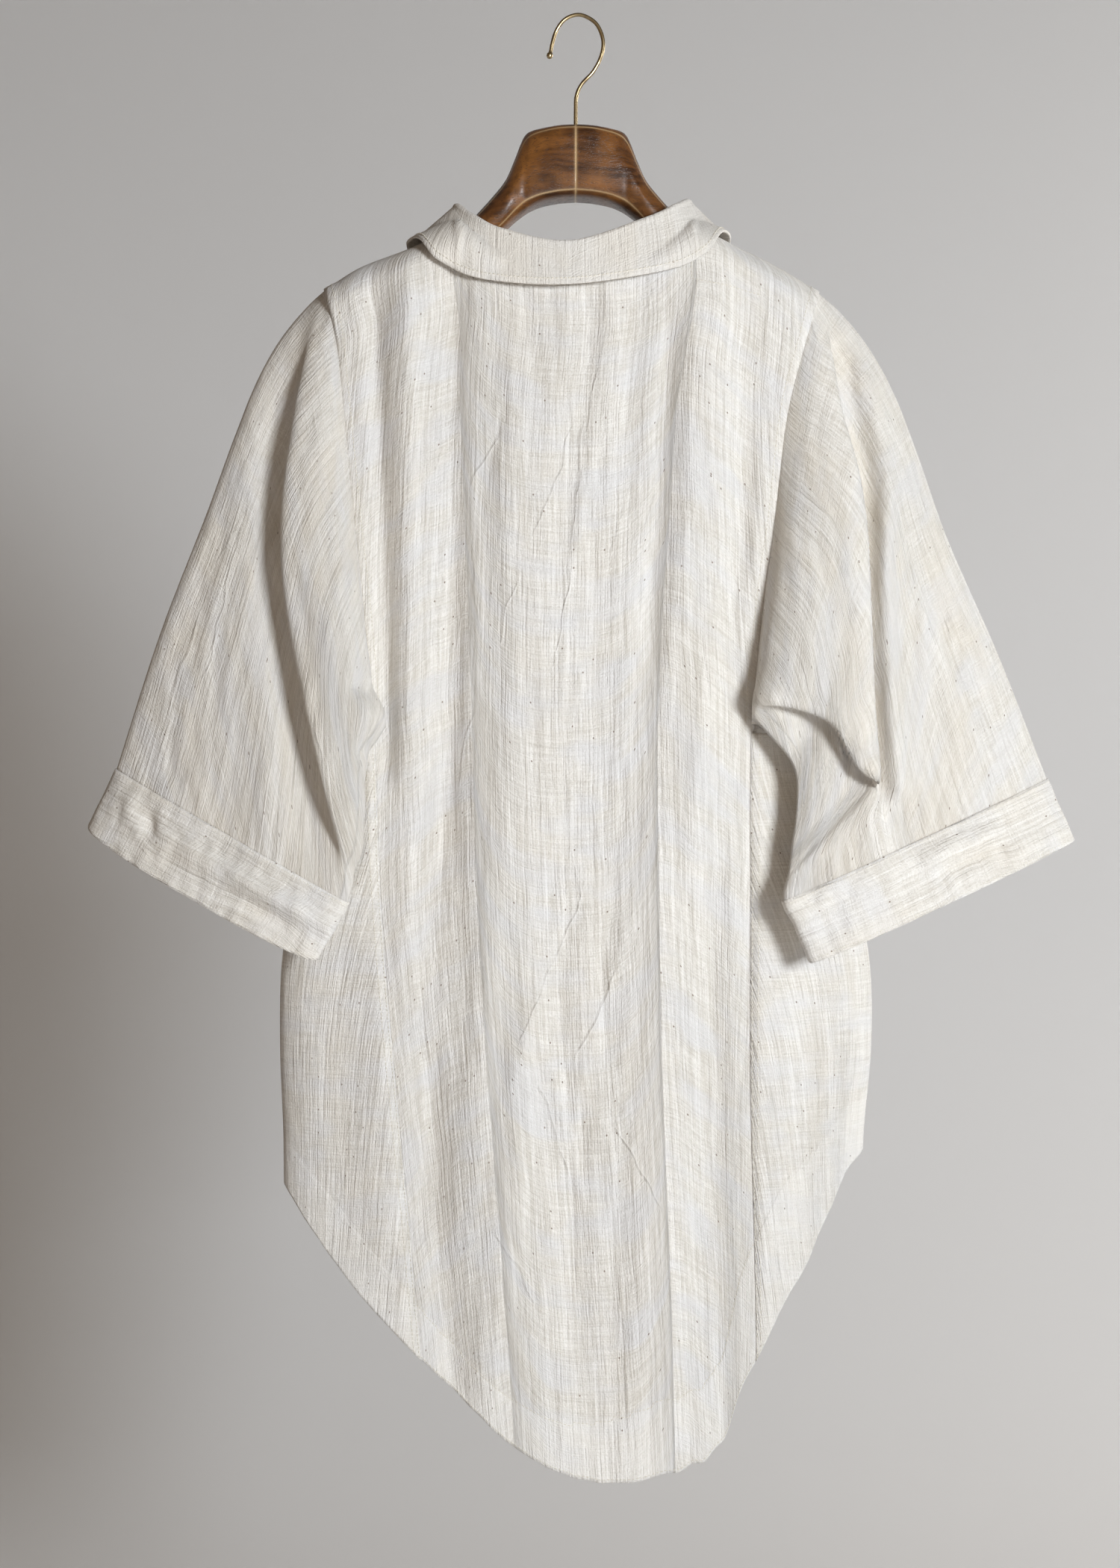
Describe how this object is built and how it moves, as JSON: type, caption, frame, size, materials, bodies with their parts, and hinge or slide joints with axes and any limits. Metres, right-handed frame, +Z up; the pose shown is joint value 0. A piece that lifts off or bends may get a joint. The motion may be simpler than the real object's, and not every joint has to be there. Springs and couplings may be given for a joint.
{
  "type": "farmer shirt on a hanger",
  "caption": "Long-sleeved, collared farmer shirt with a flared, round-tailed body, hung by its wooden hanger's hook, seen from its back.",
  "frame": {"origin": "inside of the top of the hanger's hook, where a rail bears", "axes": "+Z up, +X to the right as the back of the shirt is seen, which is the wearer's right; the back faces -Y and the buttoned front +Y"},
  "size_m": [0.8124, 0.136, 1.2093],
  "materials": {
    "cotton": "undyed handwoven cotton, crinkled, matt",
    "button": "pale shell, softly polished",
    "wood": "walnut, satin varnish",
    "hook": "aged brass wire"
  },
  "bodies": {
    "root": {"back_panel": "cotton", "front_left_panel": "cotton", "front_right_panel": "cotton", "side_gore_left": "cotton", "side_gore_right": "cotton", "sleeve_left": "cotton", "sleeve_right": "cotton", "cuff_left": "cotton", "cuff_right": "cotton", "collar": "cotton", "placket_upper": "cotton", "placket_lower": "cotton", "hem_facing": "cotton", "button_1": "button", "button_2": "button", "button_3": "button", "button_4": "button", "button_5": "button", "button_6": "button", "hanger_left": "wood", "hanger_right": "wood", "hanger_hook": "hook"}
  },
  "joints": []
}
